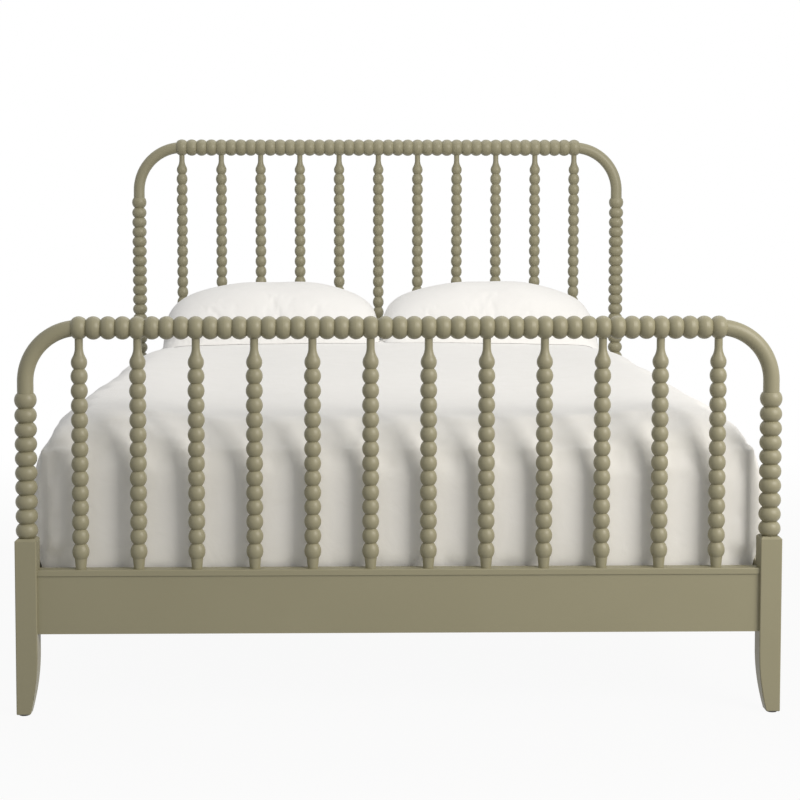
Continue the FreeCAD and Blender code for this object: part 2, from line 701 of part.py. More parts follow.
def centre_leg(y):
    """A leg under the beam, bored from below for its threaded insert and leveller."""
    half = CENTRE_LEG_SIZE / 2
    leg = block(-half, half, -half, half, CENTRE_LEG_BOTTOM, BEAM_BOTTOM)
    leg = leg.makeFillet(CENTRE_LEG_EDGE_RADIUS, long_edges(leg, 2)).translated(Vector(0, y, 0))
    leg = leg.fuse(centre_leg_tenon(y, 0)).removeSplitter()
    foot = Vector(0, y, CENTRE_LEG_BOTTOM)
    up = Vector(0, 0, 1)
    clear = LEVELLER_STEM_DIAMETER + 2 * STEM_CLEARANCE
    bore = rod(clear, foot, up, stem_top() - CENTRE_LEG_BOTTOM + LEVELLER_RETRACT + LEVELLER_BORE_ROOM)
    seat = rod(INSERT_DIAMETER + 2 * JOINT_CLEARANCE, foot, up, INSERT_LENGTH + JOINT_CLEARANCE)
    return leg.cut([bore, seat])


def threaded_insert(y):
    """The sleeve in a centre leg that the leveller's stem turns in."""
    foot = Vector(0, y, CENTRE_LEG_BOTTOM)
    up = Vector(0, 0, 1)
    sleeve = rod(INSERT_DIAMETER, foot, up, INSERT_LENGTH)
    return sleeve.cut(rod(LEVELLER_STEM_DIAMETER + 2 * THREAD_CLEARANCE, foot, up, INSERT_LENGTH))


def leveller(y):
    """A levelling foot: a round pad, a hexagon to turn it by, and a stem."""
    pad = rod(LEVELLER_PAD_DIAMETER, Vector(0, 0, 0), Vector(0, 0, 1), LEVELLER_PAD_THICKNESS)
    pad = pad.makeFillet(LEVELLER_PAD_ROUND, level_edges(pad, LEVELLER_PAD_THICKNESS))
    corner = LEVELLER_HEX_ACROSS / math.sqrt(3)
    points = [Vector(corner * math.cos(math.radians(60 * i)), corner * math.sin(math.radians(60 * i)),
                     LEVELLER_PAD_THICKNESS) for i in range(7)]
    hexagon = Part.Face(Part.makePolygon(points)).extrude(Vector(0, 0, LEVELLER_HEX_HEIGHT))
    base = Vector(0, 0, LEVELLER_PAD_THICKNESS + LEVELLER_HEX_HEIGHT)
    stem = rod(LEVELLER_STEM_DIAMETER, base, Vector(0, 0, 1), LEVELLER_STEM_LENGTH)
    return pad.multiFuse([hexagon, stem]).removeSplitter().translated(Vector(0, y, 0))


def glides():
    """The floor glides under the four legs."""
    centre = (leg_inner(GLIDE_THICKNESS) - POST_SIZE / 2) / 2
    disc = rod(GLIDE_DIAMETER, Vector(centre, centre, 0), Vector(0, 0, 1), GLIDE_THICKNESS)
    return Part.makeCompound([at_corner(disc, end, side) for end in (HEAD, FOOT) for side in (-1, 1)])


def mattress():
    """The mattress, with rounded corners and softened edges."""
    half = MATTRESS_WIDTH / 2
    body = block(-half, half, MATTRESS_FOOT_Y, MATTRESS_HEAD_Y, SLAT_TOP, MATTRESS_TOP)
    body = body.makeFillet(MATTRESS_CORNER_RADIUS, long_edges(body, 2))
    rims = level_edges(body, MATTRESS_TOP) + level_edges(body, SLAT_TOP)
    return body.makeFillet(MATTRESS_EDGE_RADIUS, rims)


def duvet_across():
    """The duvet's outline across the bed: hem, bulging side, rounded shoulder and crowned top."""
    radius = DUVET_SHOULDER_RADIUS
    side = MATTRESS_WIDTH / 2 + DUVET_SIDE_LOFT
    crown = MATTRESS_TOP + DUVET_LOFT
    top = crown - DUVET_CROWN
    bend = radius * (1 - math.sqrt(0.5))
    hem = side - DUVET_SIDE_BULGE
    middle = (DUVET_HEM + top - radius) / 2

    def at(x, z):
        return Vector(x, 0, z)

    return wire_face([
        arc3(at(-hem, DUVET_HEM), at(-side - DUVET_SIDE_BULGE / 2, middle), at(-side, top - radius)),
        arc3(at(-side, top - radius), at(-side + bend, top - bend), at(-side + radius, top)),
        arc3(at(-side + radius, top), at(0, crown), at(side - radius, top)),
        arc3(at(side - radius, top), at(side - bend, top - bend), at(side, top - radius)),
        arc3(at(side, top - radius), at(side + DUVET_SIDE_BULGE / 2, middle), at(hem, DUVET_HEM)),
        segment(at(hem, DUVET_HEM), at(-hem, DUVET_HEM)),
    ])


def duvet_along():
    """The duvet's outline along the bed: a roll at the foot, a rise to the pillows and a blunt end."""
    radius = DUVET_FOOT_RADIUS
    foot = MATTRESS_FOOT_Y - DUVET_FOOT_LOFT
    head = MATTRESS_HEAD_Y - DUVET_HEAD_MARGIN
    # Just over the crown, so that the two outlines don't touch along a line
    crown = MATTRESS_TOP + DUVET_LOFT + SOFT_CLEARANCE
    crest = crown - DUVET_FOOT_DROP
    pillow_front = HEAD_Y - PILLOW_HEAD_GAP - PILLOW_DEPTH
    blunt = DUVET_LOFT / 2
    bend = radius * (1 - math.sqrt(0.5))
    turn = blunt * (1 - math.sqrt(0.5))

    def at(y, z):
        return Vector(0, y, z)

    return wire_face([
        segment(at(foot, DUVET_HEM), at(foot, crest - radius)),
        arc3(at(foot, crest - radius), at(foot + bend, crest - bend), at(foot + radius, crest)),
        segment(at(foot + radius, crest), at(pillow_front, crown)),
        segment(at(pillow_front, crown), at(head - blunt, crown)),
        arc3(at(head - blunt, crown), at(head - turn, crown - turn), at(head, crown - blunt)),
        segment(at(head, crown - blunt), at(head, DUVET_HEM)),
        segment(at(head, DUVET_HEM), at(foot, DUVET_HEM)),
    ])


def rounded_at_foot(x, y0, y1, z0, z1, radius):
    """A block about the bed's middle whose two corners at the foot are rounded, seen from above."""
    body = block(-x, x, y0, y1, z0, z1)
    corners = [e for e in long_edges(body, 2) if e.BoundBox.YMax < body.BoundBox.Center.y]
    return body.makeFillet(radius, corners)


def duvet():
    """The duvet: where its outlines across, along and from above meet, less the mattress and side rails."""
    wide = 2 * POST_X + SIDE_RAIL_THICKNESS
    foot = MATTRESS_FOOT_Y - DUVET_FOOT_LOFT
    across = duvet_across().translated(Vector(0, FOOT_Y, 0)).extrude(Vector(0, POST_SPAN, 0))
    along = duvet_along().translated(Vector(-wide / 2, 0, 0)).extrude(Vector(wide, 0, 0))
    reach = MATTRESS_WIDTH / 2 + DUVET_SIDE_LOFT + DUVET_SIDE_BULGE
    above = rounded_at_foot(reach, foot, HEAD_Y, 0, 2 * MATTRESS_TOP, DUVET_CORNER_RADIUS)
    outside = across.common(along).common(above).Solids[0]
    inside = rounded_at_foot(MATTRESS_WIDTH / 2 + SOFT_CLEARANCE, MATTRESS_FOOT_Y - SOFT_CLEARANCE, HEAD_Y,
                             0, MATTRESS_TOP + SOFT_CLEARANCE, MATTRESS_CORNER_RADIUS)
    edge = SIDE_RAIL_INNER_X - DUVET_TUCK_GAP
    hem = SIDE_RAIL_TOP + DUVET_RAIL_GAP
    strips = [block(-wide, -edge, FOOT_Y, HEAD_Y, 0, hem), block(edge, wide, FOOT_Y, HEAD_Y, 0, hem)]
    return outside.cut([inside] + strips)


def pillow_section(share):
    """One lens-shaped outline across a pillow, at a share of its half width."""
    swell = (1 - abs(share) ** PILLOW_FULLNESS) ** (1 / PILLOW_FULLNESS)
    rise = PILLOW_SEAM + (PILLOW_CROWN - PILLOW_SEAM) * swell
    sag = PILLOW_SEAM + (PILLOW_UNDERSIDE - PILLOW_SEAM) * swell
    reach = PILLOW_DEPTH / 2 - PILLOW_DRAW_IN * (1 - share**2)
    x = share * PILLOW_WIDTH / 2
    front = Vector(x, -reach, 0)
    back = Vector(x, reach, 0)
    return Part.Wire([arc3(front, Vector(x, 0, rise), back), arc3(back, Vector(x, 0, -sag), front)])


def pillow(side):
    """A plump pillow leaning back a little, flattened where it lies on the duvet."""
    shares = [-s for s in reversed(PILLOW_STEPS)] + list(PILLOW_STEPS[1:])
    body = Part.makeLoft([pillow_section(s) for s in shares], True, False)
    body.rotate(Vector(0, 0, 0), Vector(1, 0, 0), PILLOW_TILT)
    box = body.optimalBoundingBox()
    body.translate(Vector(side * (PILLOW_WIDTH + PILLOW_GAP) / 2, HEAD_Y - PILLOW_HEAD_GAP - box.YMax,
                          MATTRESS_TOP + DUVET_LOFT - PILLOW_SINK - box.ZMin))
    seat = MATTRESS_TOP + DUVET_LOFT + SOFT_CLEARANCE
    return body.cut(block(-POST_X, POST_X, FOOT_Y, HEAD_Y, 0, seat))


def build():
    """Every piece of the bed by its name."""
    parts = {}
    for end in (HEAD, FOOT):
        for side, word in ((-1, "left"), (1, "right")):
            parts[f"{end.name}_post_{word}"] = at_corner(post(end), end, side)
        left_elbow = elbow(end)
        parts[f"{end.name}_elbow_left"] = left_elbow
        parts[f"{end.name}_elbow_right"] = left_elbow.mirror(Vector(0, 0, 0), Vector(1, 0, 0))
        parts[f"{end.name}_top_rail"] = top_rail(end)
        turned = spindle(end)
        for i in range(end.spindles):
            parts[f"{end.name}_spindle_{i + 1:02d}"] = turned.translated(Vector(end.spindle_x(i), end.y, 0))
        parts[f"{end.name}_lower_rail"] = lower_rail(end)
        parts[f"{end.name}_rail_cap"] = rail_cap(end)
    for side, word in ((-1, "left"), (1, "right")):
        parts[f"side_rail_{word}"] = side_rail(side)
        parts[f"slat_ledger_{word}"] = ledger(side)
    corners = [(end, side) for end in (HEAD, FOOT) for side in (-1, 1)]
    parts["post_slot_plates"] = Part.makeCompound([at_corner(slot_plate(), e, s) for e, s in corners])
    parts["rail_hook_plates"] = Part.makeCompound([at_corner(hook_plate(), e, s) for e, s in corners])
    parts["slats"] = slats()
    parts["slat_screws"] = Part.makeCompound([s for _, s in slat_screw_list(0)])
    parts["ledger_screws"] = Part.makeCompound(ledger_screw_list(-1, 0) + ledger_screw_list(1, 0))
    parts["centre_beam"] = centre_beam()
    parts["beam_hangers"] = Part.makeCompound([beam_hanger(HEAD), beam_hanger(FOOT)])
    for word, y in (("head", CENTRE_LEG_OFFSET), ("foot", -CENTRE_LEG_OFFSET)):
        parts[f"centre_leg_{word}"] = centre_leg(y)
        parts[f"leveller_{word}"] = leveller(y)
    parts["threaded_inserts"] = Part.makeCompound(
        [threaded_insert(y) for y in (-CENTRE_LEG_OFFSET, CENTRE_LEG_OFFSET)])
    parts["floor_glides"] = glides()
    parts["mattress"] = mattress()
    parts["duvet"] = duvet()
    parts["pillow_left"] = pillow(-1)
    parts["pillow_right"] = pillow(1)
    return parts


def main():
    os.makedirs("parts", exist_ok=True)
    for name, shape in build().items():
        shape.exportStep(f"parts/{name}.step")


main()
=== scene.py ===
"""Dresses a bead-turned bed: satin paint on its end boards, pine and metal below, white bedding on top.

Lengths are metres. X runs to the right as seen from the foot, Y from the foot to the head, and Z up.
"""

import logging
import math
from collections.abc import Callable, Iterable
from dataclasses import dataclass
from enum import Enum

import bpy
import numpy as np
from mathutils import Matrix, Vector, noise
from mathutils.bvhtree import BVHTree


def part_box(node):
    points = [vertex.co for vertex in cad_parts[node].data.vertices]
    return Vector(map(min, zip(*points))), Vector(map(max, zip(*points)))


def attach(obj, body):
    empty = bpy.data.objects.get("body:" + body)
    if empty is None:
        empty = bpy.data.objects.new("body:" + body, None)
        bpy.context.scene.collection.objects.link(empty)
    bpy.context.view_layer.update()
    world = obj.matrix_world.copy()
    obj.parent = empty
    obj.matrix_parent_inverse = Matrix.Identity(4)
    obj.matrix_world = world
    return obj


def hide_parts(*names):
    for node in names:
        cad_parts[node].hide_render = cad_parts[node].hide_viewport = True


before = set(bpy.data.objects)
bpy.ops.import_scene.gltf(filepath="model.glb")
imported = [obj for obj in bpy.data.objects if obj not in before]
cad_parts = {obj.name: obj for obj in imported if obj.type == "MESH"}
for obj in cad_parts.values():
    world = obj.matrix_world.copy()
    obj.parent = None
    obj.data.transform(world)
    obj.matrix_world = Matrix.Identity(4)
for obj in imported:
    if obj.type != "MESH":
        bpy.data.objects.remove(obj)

log = logging.getLogger("bed")
WHITE = "#ffffff"

Span = tuple[float, float]
Place = tuple[float, float, float]

# A Mix node's sockets go by number, because each kind of value has its own under the same names.
SHARE = 0
FIRST_VALUE = 2
SECOND_VALUE = 3
FIRST_COLOUR = 6
SECOND_COLOUR = 7
MIXED_VALUE = 0
MIXED_COLOUR = 2

# Points of a CAD mesh that are closer than this are one.
WELD = 0.00001
# Two heights that are closer than this are level.
LEVEL = 0.001
# The shortest move that is divided by.
TINY = 1e-9


class Grain(Enum):
    """The axis that a board's grain runs along."""

    ACROSS = 0
    ALONG = 1
    UPRIGHT = 2


class Side(Enum):
    """The two sides of the bed, as seen from the foot."""

    LEFT = "left"
    RIGHT = "right"


class End(Enum):
    """The two ends of the bed, with the number of spindles that each board holds."""

    HEAD = ("head", 11)
    FOOT = ("foot", 12)


def linear(colour: str) -> tuple[float, float, float, float]:
    """Turn an sRGB hex colour into linear light.

    Args:
        colour: A hash and six hex digits.

    Returns:
        Red, green, blue and a full alpha, each from 0 to 1.
    """
    channels = [int(colour[i:i + 2], 16) / 255.0 for i in (1, 3, 5)]
    light = [c / 12.92 if c <= 0.04045 else ((c + 0.055) / 1.055) ** 2.4 for c in channels]
    return (light[0], light[1], light[2], 1.0)


def grains(size_mm: float) -> float:
    """Give the noise scale whose features are this many millimetres across."""
    return 1000.0 / size_mm


def bands(pitch_mm: float) -> float:
    """Give the wave scale whose bands come at this pitch: a band is a full turn of 20 times the scale."""
    return 2.0 * math.pi / 20.0 * 1000.0 / pitch_mm


class Graph:
    """A node tree, built a node at a time."""

    def __init__(self, owner: bpy.types.Material | bpy.types.World) -> None:
        """Start with the empty tree of a material or a world."""
        owner.use_nodes = True
        self.tree = owner.node_tree
        self.tree.nodes.clear()

    def add(self, kind: str, inputs: dict | None = None, **settings: object) -> bpy.types.Node:
        """Add a node with its settings, values and links.

        Args:
            kind: The node's type, without the word that all shader nodes start with.
            inputs: A value to set or an output to link, by the name or number of the input.
            settings: Properties of the node itself.

        Returns:
            The new node.
        """
        node = self.tree.nodes.new("ShaderNode" + kind)
        for name, value in settings.items():
            setattr(node, name, value)
        for socket, value in (inputs or {}).items():
            if isinstance(value, bpy.types.NodeSocket):
                self.tree.links.new(value, node.inputs[socket])
            else:
                node.inputs[socket].default_value = value
        return node

    def shown(self) -> bpy.types.NodeSocket:
        """Give 1 to what the camera sees, straight, mirrored or through glass, and 0 to other light."""
        path = self.add("LightPath")
        seen = self.add("Math", {0: path.outputs["Is Camera Ray"], 1: path.outputs["Is Glossy Ray"]},
                        operation="MAXIMUM")
        through = self.add("Math", {0: seen.outputs[0], 1: path.outputs["Is Transmission Ray"]},
                           operation="MAXIMUM")
        return through.outputs[0]


class FinishGraph(Graph):
    """The node tree of one finish."""

    def __init__(self, name: str) -> None:
        """Start an empty material under a name."""
        self.material = bpy.data.materials.new(name)
        super().__init__(self.material)

    def finish(self, surface: dict) -> bpy.types.Material:
        """Close the tree with a shader.

        Args:
            surface: The shader's inputs, as for add.

        Returns:
            The finished material.
        """
        shader = self.add("BsdfPrincipled", surface)
        self.add("OutputMaterial", {"Surface": shader.outputs["BSDF"]})
        return self.material


@dataclass(frozen=True)
class SatinEnamel:
    """Satin enamel sprayed and brushed on sanded hardwood.

    To the eye it is one even sage colour whose tone drifts a little along a piece, with a broad soft
    highlight on every bead and the faint peel of a painted coat close by.
    """

    name: str = "sage_satin_enamel"
    colour: str = "#989379"
    deep_colour: str = "#918c72"
    drift_mm: float = 220.0
    # Real peel is about 1 mm: this is drawn coarser so that it shows.
    peel_mm: float = 2.2

    def material(self) -> bpy.types.Material:
        """Make the paint's material."""
        paint = FinishGraph(self.name)
        place = paint.add("TexCoord").outputs["Object"]
        drift = paint.add("TexNoise", {"Vector": place, "Scale": grains(self.drift_mm), "Detail": 2.0})
        tone = paint.add("Mix", {SHARE: drift.outputs["Fac"], FIRST_COLOUR: linear(self.colour),
                                 SECOND_COLOUR: linear(self.deep_colour)}, data_type="RGBA")
        peel = paint.add("TexNoise", {"Vector": place, "Scale": grains(self.peel_mm), "Detail": 3.0})
        gloss = paint.add("MapRange", {"Value": peel.outputs["Fac"], "To Min": 0.38, "To Max": 0.50})
        relief = paint.add("Bump", {"Height": peel.outputs["Fac"], "Strength": 0.10, "Distance": 0.0004})
        return paint.finish({"Base Color": tone.outputs[MIXED_COLOUR], "Roughness": gloss.outputs["Result"],
                             "Normal": relief.outputs["Normal"], "IOR": 1.5})


@dataclass(frozen=True)
class PlanedPine:
    """Planed and unfinished pine.

    To the eye it is pale straw with darker late-wood lines along the board and a dry, fibrous surface.
    """

    name: str
    grain: Grain
    early_colour: str = "#dcc096"
    late_colour: str = "#bf9560"
    ring_mm: float = 11.0
    fibre_mm: float = 1.2
    stretch: float = 22.0
    # How much of the streaks is fibre; the rest is rings.
    fibre_share: float = 0.35

    def material(self) -> bpy.types.Material:
        """Make the timber's material, its rings and fibres drawn out along the grain."""
        pine = FinishGraph(self.name)
        drawn = [1.0, 1.0, 1.0]
        drawn[self.grain.value] = 1.0 / self.stretch
        place = pine.add("TexCoord").outputs["Object"]
        along = pine.add("Mapping", {"Vector": place, "Scale": drawn}).outputs["Vector"]
        rings = pine.add("TexWave", {"Vector": along, "Scale": bands(self.ring_mm), "Distortion": 5.0,
                                     "Detail": 2.0, "Detail Scale": 0.4}, bands_direction="DIAGONAL")
        fibres = pine.add("TexNoise", {"Vector": along, "Scale": grains(self.fibre_mm), "Detail": 3.0})
        streak = pine.add("Mix", {SHARE: self.fibre_share, FIRST_VALUE: rings.outputs["Fac"],
                                  SECOND_VALUE: fibres.outputs["Fac"]})
        tone = pine.add("Mix", {SHARE: streak.outputs[MIXED_VALUE], FIRST_COLOUR: linear(self.early_colour),
                                SECOND_COLOUR: linear(self.late_colour)}, data_type="RGBA")
        gloss = pine.add("MapRange", {"Value": fibres.outputs["Fac"], "To Min": 0.58, "To Max": 0.74})
        relief = pine.add("Bump", {"Height": fibres.outputs["Fac"], "Strength": 0.2, "Distance": 0.0004})
        return pine.finish({"Base Color": tone.outputs[MIXED_COLOUR], "Roughness": gloss.outputs["Result"],
                            "Normal": relief.outputs["Normal"]})


@dataclass(frozen=True)
class PlatedMetal:
    """Pressed or turned metal with a thin plated coat.

    To the eye it is a soft grey or yellow shine, broken by the plating's cloudy patches and fine scuffs.
    """

    name: str
    colour: str
    cloud_colour: str
    cloud_mm: float = 9.0
    scuff_mm: float = 0.8
    smooth: float = 0.28
    rough: float = 0.46

    def material(self) -> bpy.types.Material:
        """Make the metal's material."""
        metal = FinishGraph(self.name)
        place = metal.add("TexCoord").outputs["Object"]
        cloud = metal.add("TexNoise", {"Vector": place, "Scale": grains(self.cloud_mm), "Detail": 4.0})
        tone = metal.add("Mix", {SHARE: cloud.outputs["Fac"], FIRST_COLOUR: linear(self.colour),
                                 SECOND_COLOUR: linear(self.cloud_colour)}, data_type="RGBA")
        scuff = metal.add("TexNoise", {"Vector": place, "Scale": grains(self.scuff_mm), "Detail": 2.0})
        gloss = metal.add("MapRange", {"Value": cloud.outputs["Fac"], "To Min": self.smooth,
                                       "To Max": self.rough})
        relief = metal.add("Bump", {"Height": scuff.outputs["Fac"], "Strength": 0.08, "Distance": 0.0002})
        return metal.finish({"Base Color": tone.outputs[MIXED_COLOUR], "Roughness": gloss.outputs["Result"],
                             "Normal": relief.outputs["Normal"], "Metallic": 1.0})


@dataclass(frozen=True)
class MouldedNylon:
    """Moulded nylon for the parts that touch the floor.

    To the eye it is a dull dark grey with the fine spark-eroded grain of the mould.
    """

    name: str = "moulded_nylon"
    colour: str = "#3a3936"
    worn_colour: str = "#47453f"
    grit_mm: float = 0.9

    def material(self) -> bpy.types.Material:
        """Make the nylon's material."""
        nylon = FinishGraph(self.name)
        place = nylon.add("TexCoord").outputs["Object"]
        grit = nylon.add("TexNoise", {"Vector": place, "Scale": grains(self.grit_mm), "Detail": 2.0})
        tone = nylon.add("Mix", {SHARE: grit.outputs["Fac"], FIRST_COLOUR: linear(self.colour),
                                 SECOND_COLOUR: linear(self.worn_colour)}, data_type="RGBA")
        gloss = nylon.add("MapRange", {"Value": grit.outputs["Fac"], "To Min": 0.45, "To Max": 0.62})
        relief = nylon.add("Bump", {"Height": grit.outputs["Fac"], "Strength": 0.2, "Distance": 0.0003})
        return nylon.finish({"Base Color": tone.outputs[MIXED_COLOUR], "Roughness": gloss.outputs["Result"],
                             "Normal": relief.outputs["Normal"], "IOR": 1.53})


@dataclass(frozen=True)
class WovenCotton:
    """Plain-woven cotton, washed and pressed.

    To the eye it is matt and softly bright along its edges, with a fine crossed thread and slight creases.
    """

    name: str
    colour: str
    shade_colour: str
    # Percale has about 0.25 mm between threads: this is drawn coarser so that it shows.
    thread_mm: float = 1.1
    crease_mm: float = 46.0
    crease_depth: float = 0.0035

    def material(self) -> bpy.types.Material:
        """Make the cloth's material: threads along three axes, so that each face shows two that cross."""
        cloth = FinishGraph(self.name)
        place = cloth.add("TexCoord").outputs["Object"]
        crease = cloth.add("TexNoise", {"Vector": place, "Scale": grains(self.crease_mm), "Detail": 3.0,
                                        "Roughness": 0.45, "Distortion": 0.6})
        tone = cloth.add("Mix", {SHARE: crease.outputs["Fac"], FIRST_COLOUR: linear(self.colour),
                                 SECOND_COLOUR: linear(self.shade_colour)}, data_type="RGBA")
        soft = cloth.add("Bump", {"Height": crease.outputs["Fac"], "Strength": 0.35,
                                  "Distance": self.crease_depth})
        wave = {"Vector": place, "Scale": bands(self.thread_mm), "Distortion": 0.4}
        threads = [cloth.add("TexWave", wave, bands_direction=axis).outputs["Fac"] for axis in "XYZ"]
        pair = cloth.add("Math", {0: threads[0], 1: threads[1]}, operation="ADD")
        weave = cloth.add("Math", {0: pair.outputs[0], 1: threads[2]}, operation="ADD")
        relief = cloth.add("Bump", {"Height": weave.outputs[0], "Strength": 0.12, "Distance": 0.0002,
                                    "Normal": soft.outputs["Normal"]})
        return cloth.finish({"Base Color": tone.outputs[MIXED_COLOUR], "Normal": relief.outputs["Normal"],
                             "Roughness": 0.82, "Sheen Weight": 0.15, "Sheen Roughness": 0.5,
                             "Specular IOR Level": 0.25})


@dataclass(frozen=True)
class Simulation:
    """How the cloth simulation blows up a sewn cover."""

    pressure: float
    moments: int
    tension: float
    compression: float
    bending: float
    # The share by which the cloth is cut larger than the form that it starts from.
    slack: float
    # The furthest that a point may move.
    reach: float
    quality: int = 5

    def run(self, piece: bpy.types.Object, held: np.ndarray) -> None:
        """Simulate a cover, keep its last shape within reach and leave no modifier on it.

        Args:
            piece: The closed cover.
            held: For each point, from 0 where it is free to 1 where it stays in place.
        """
        start = points_of(piece)
        pins = piece.vertex_groups.new(name="held")
        for i, share in enumerate(held):
            pins.add([i], float(share), "REPLACE")
        cloth = piece.modifiers.new("cover", "CLOTH")
        cloth.settings.quality = self.quality
        cloth.settings.use_pressure = True
        cloth.settings.uniform_pressure_force = self.pressure
        cloth.settings.tension_stiffness = self.tension
        cloth.settings.compression_stiffness = self.compression
        cloth.settings.shear_stiffness = self.tension / 2
        cloth.settings.bending_stiffness = self.bending
        cloth.settings.shrink_min = -self.slack
        cloth.settings.vertex_group_mass = pins.name
        cloth.settings.effector_weights.gravity = 0.0
        cloth.collision_settings.use_collision = False
        for moment in range(1, self.moments + 1):
            bpy.context.scene.frame_set(moment)
        apply_modifier(piece, cloth)
        piece.vertex_groups.clear()
        bpy.context.scene.frame_set(1)
        moved = points_of(piece) - start
        length = np.linalg.norm(moved, axis=1)
        kept = np.minimum(1.0, self.reach / np.maximum(length, TINY))
        move_points(piece, start + moved * kept[:, None])


def points_of(piece: bpy.types.Object) -> np.ndarray:
    """Give the places of a mesh's points, one row each."""
    flat = np.empty(len(piece.data.vertices) * 3)
    piece.data.vertices.foreach_get("co", flat)
    return flat.reshape(-1, 3)


def normals_of(piece: bpy.types.Object) -> np.ndarray:
    """Give the outward directions at a mesh's points, one row each."""
    flat = np.empty(len(piece.data.vertices) * 3)
    piece.data.vertices.foreach_get("normal", flat)
    return flat.reshape(-1, 3)


def move_points(piece: bpy.types.Object, points: np.ndarray) -> None:
    """Put a mesh's points at new places."""
    piece.data.vertices.foreach_set("co", points.ravel())
    piece.data.update()


def choose(piece: bpy.types.Object) -> None:
    """Deselect everything and make one piece active."""
    bpy.ops.object.select_all(action="DESELECT")
    piece.select_set(True)
    bpy.context.view_layer.objects.active = piece


def apply_modifier(piece: bpy.types.Object, modifier: bpy.types.Modifier) -> None:
    """Apply one modifier to a piece."""
    choose(piece)
    bpy.ops.object.modifier_apply(modifier=modifier.name)


def settle_transform(piece: bpy.types.Object) -> None:
    """Move a piece's place, turn and scale into its mesh."""
    choose(piece)
    bpy.ops.object.transform_apply(location=True, rotation=True, scale=True)


def remesh(piece: bpy.types.Object, cell: float) -> None:
    """Cover a closed piece with even square faces of about one cell."""
    voxels = piece.modifiers.new("even faces", "REMESH")
    voxels.mode = "VOXEL"
    voxels.voxel_size = cell
    apply_modifier(piece, voxels)


def copy_node(node: str, name: str, cell: float) -> bpy.types.Object:
    """Copy a CAD node's form into a new piece with even faces.

    Args:
        node: The CAD node.
        name: The new piece's name.
        cell: The length of a face.

    Returns:
        The new piece, which is one closed skin.
    """
    piece = bpy.data.objects.new(name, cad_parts[node].data.copy())
    bpy.context.scene.collection.objects.link(piece)
    choose(piece)
    bpy.ops.object.mode_set(mode="EDIT")
    bpy.ops.mesh.select_all(action="SELECT")
    bpy.ops.mesh.remove_doubles(threshold=WELD)
    bpy.ops.object.mode_set(mode="OBJECT")
    remesh(piece, cell)
    return piece


def relax(piece: bpy.types.Object, rounds: int) -> None:
    """Smooth the small steps out of a remeshed piece."""
    smooth = piece.modifiers.new("relax", "SMOOTH")
    smooth.factor = 0.5
    smooth.iterations = rounds
    apply_modifier(piece, smooth)


def ramp(span: Span, values: np.ndarray) -> np.ndarray:
    """Rise smoothly from 0 at a span's start to 1 at its end."""
    start, end = span
    share = np.clip((values - start) / (end - start), 0.0, 1.0)
    return share * share * (3.0 - 2.0 * share)


def bevel_edges(piece: bpy.types.Object, wanted: Callable[[Vector, Vector], bool], radius: float,
                steps: int) -> None:
    """Round the edges of a piece that pass a test.

    Args:
        piece: The mesh.
        wanted: Says of an edge's two ends whether it is rounded.
        radius: The rounding's radius.
        steps: How many faces make the rounding.
    """
    choose(piece)
    bpy.ops.object.mode_set(mode="EDIT")
    bpy.ops.mesh.select_all(action="DESELECT")
    bpy.ops.object.mode_set(mode="OBJECT")
    bpy.context.tool_settings.mesh_select_mode = (False, True, False)
    places = [vertex.co for vertex in piece.data.vertices]
    for edge in piece.data.edges:
        edge.select = wanted(places[edge.vertices[0]], places[edge.vertices[1]])
    bpy.ops.object.mode_set(mode="EDIT")
    bpy.ops.mesh.bevel(offset=radius, segments=steps, affect="EDGES")
    bpy.ops.object.mode_set(mode="OBJECT")


@dataclass(frozen=True)
class Rumple:
    """Smooth bumps and hollows in a soft surface."""

    height: float
    # How long one bump is along each axis.
    size: Place
    # Moves the pattern, so that each use has its own.
    offset: float

    def at(self, points: np.ndarray) -> np.ndarray:
        """Give how far the surface stands out at each point.

        Args:
            points: Places, one row each.

        Returns:
            A height above or below the plain surface for each point.
        """
        scaled = points / np.array(self.size) + self.offset
        return np.array([noise.noise(Vector(row)) for row in scaled]) * self.height


def dress(names: Iterable[str], finish: bpy.types.Material) -> None:
    """Give CAD nodes one finish and report each."""
    for name in names:
        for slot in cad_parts[name].material_slots:
            slot.material = finish
        log.info("%s: %s", name, finish.name)


def wrap_up(piece: bpy.types.Object, finish: bpy.types.Material, body: str) -> None:
    """Give a new piece its finish, smooth shading and body, and report it.

    Args:
        piece: The finished mesh.
        finish: Its material.
        body: The CAD body that it moves with.
    """
    piece.data.materials.clear()
    piece.data.materials.append(finish)
    choose(piece)
    bpy.ops.object.shade_smooth()
    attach(piece, body)
    log.info("%s: %s, %d faces", piece.name, finish.name, len(piece.data.polygons))


@dataclass
class EndBoard:
    """A painted end of the bed: posts, bent elbows, beaded rail, spindles, lower rail and cap strip."""

    end: End

    def names(self) -> list[str]:
        """List the board's CAD nodes."""
        word, spindles = self.end.value
        pairs = [f"{word}_{kind}_{side.value}" for kind in ("post", "elbow") for side in Side]
        rails = [f"{word}_{kind}" for kind in ("top_rail", "lower_rail", "rail_cap")]
        return pairs + rails + [f"{word}_spindle_{i + 1:02d}" for i in range(spindles)]

    def dress(self, paint: bpy.types.Material) -> None:
        """Paint the whole board."""
        dress(self.names(), paint)


@dataclass
class SideRails:
    """The two painted side rails and their knock-down plates."""

    def dress(self, paint: bpy.types.Material, steel: bpy.types.Material) -> None:
        """Paint the rails and plate their hardware."""
        dress([f"side_rail_{side.value}" for side in Side], paint)
        dress(["post_slot_plates", "rail_hook_plates"], steel)


